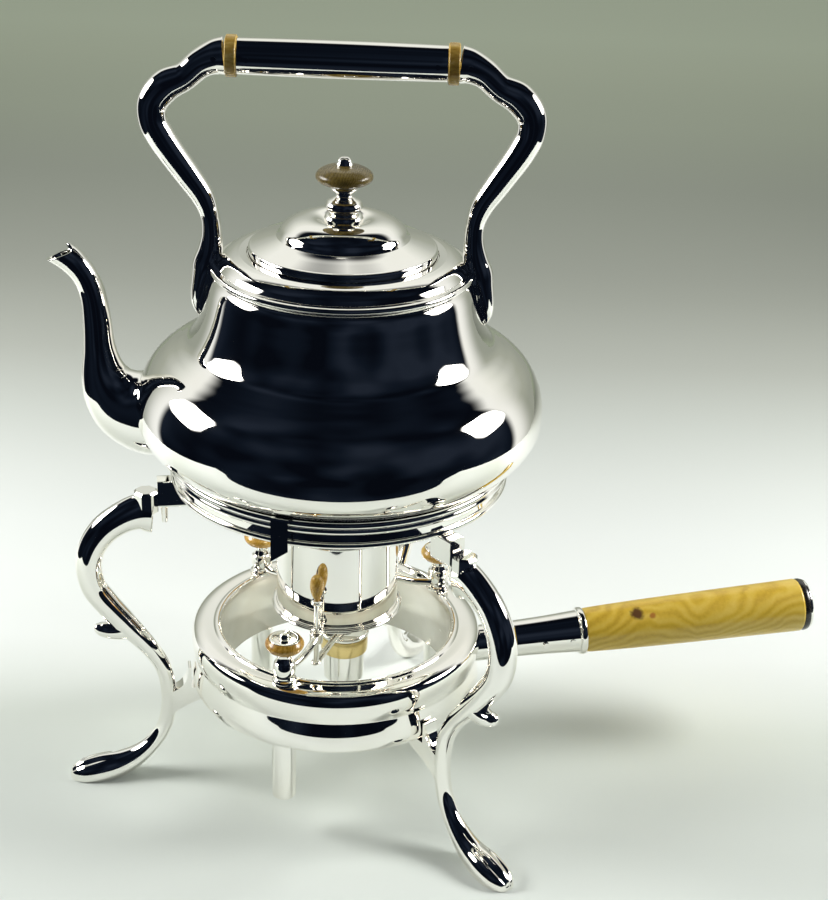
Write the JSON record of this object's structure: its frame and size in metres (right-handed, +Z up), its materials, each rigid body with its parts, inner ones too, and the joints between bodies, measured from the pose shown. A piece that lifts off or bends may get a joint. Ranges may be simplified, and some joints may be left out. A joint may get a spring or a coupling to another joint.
{
  "type": "spirit kettle on stand",
  "caption": "Silver plated tea kettle with bail handle, long spout and hinged lid, on a legged stand with a ring-shaped spirit lamp.",
  "frame": {"origin": "centre of the bounding box on the plane that the feet stand on", "axes": "+Z up, +X towards the end of the lamp's handle, the spout points to -X, the lid's hinge is on the +Y side"},
  "size_m": [0.379, 0.2283, 0.3674],
  "materials": {
    "silver": "mirror-polished silver plate, slightly warm",
    "bone": "polished bone",
    "turned_wood": "turned and polished fruitwood",
    "boxwood": "waxed boxwood with a knot",
    "ebony": "polished ebony",
    "brass": "polished",
    "wick": "woven cotton"
  },
  "bodies": {
    "stand": {"upper_ring": "silver", "ring_lug_1": "silver", "ring_lug_2": "silver", "ring_lug_3": "silver", "leg_bracket_1": "silver", "leg_bracket_2": "silver", "leg_bracket_3": "silver", "leg_1": "silver", "leg_2": "silver", "leg_3": "silver", "lamp_rest_1": "silver", "lamp_rest_2": "silver", "lamp_rest_3": "silver"},
    "kettle": {"kettle_body": "silver", "kettle_base": "silver", "spout": "silver", "collar": "silver", "handle_arm_right": "silver", "handle_arm_left": "silver", "insulator_right": "bone", "insulator_left": "bone", "grip": "silver", "handle_pins": "silver", "hinge_bracket": "silver", "hinge_pin": "silver"},
    "lid": {"lid": "silver", "lid_knuckle": "silver", "finial_base": "silver", "finial_disc": "turned_wood", "finial_button": "silver", "finial_nut": "silver"},
    "lamp": {"lamp_tank": "silver", "lamp_post_1": "silver", "lamp_post_2": "silver", "lamp_post_3": "silver", "burner_tube": "silver", "feed_tube": "silver", "burner_collar": "brass", "wick": "wick", "chimney": "silver", "chimney_gallery": "silver", "handle_ferrule": "silver", "ferrule_screws": "silver", "lamp_handle_wood": "boxwood", "handle_washer": "ebony", "end_cap": "silver", "tie_rod": "silver"},
    "knob_1": {"knob_disc_1": "turned_wood", "knob_screw_1": "silver"},
    "knob_2": {"knob_disc_2": "turned_wood", "knob_screw_2": "silver"},
    "knob_3": {"knob_disc_3": "turned_wood", "knob_screw_3": "silver"},
    "snuffer": {"snuffer": "silver", "acorn": "turned_wood", "acorn_ring": "silver"}
  },
  "joints": [
    {"name": "kettle_lift", "type": "slide", "parent": "stand", "child": "kettle", "axis": [0, 0, 1], "range_m": [0, 0.05]},
    {"name": "lid_hinge", "type": "hinge", "parent": "kettle", "child": "lid", "pos_m": [-0.056, 0.033, 0.2728], "axis": [-1, 0, 0], "range_deg": [0, 100]},
    {"name": "lamp_lift", "type": "slide", "parent": "stand", "child": "lamp", "axis": [0, 0, 1], "range_m": [0, 0.021]},
    {"name": "snuffer_swing", "type": "hinge", "parent": "lamp", "child": "snuffer", "pos_m": [-0.06387, -0.0457, 0.092], "axis": [0, 0, -1], "range_deg": [0, 65]},
    {"name": "knob_turn_1", "type": "hinge", "parent": "lamp", "child": "knob_1", "pos_m": [-0.07703, -0.06939, 0.1], "axis": [0, 0, 1], "continuous": true},
    {"name": "knob_turn_2", "type": "hinge", "parent": "lamp", "child": "knob_2", "pos_m": [-0.00624, 0.02455, 0.1], "axis": [0, 0, 1], "continuous": true},
    {"name": "knob_turn_3", "type": "hinge", "parent": "lamp", "child": "knob_3", "pos_m": [-0.09715, 0.0341, 0.1], "axis": [0, 0, 1], "continuous": true}
  ]
}
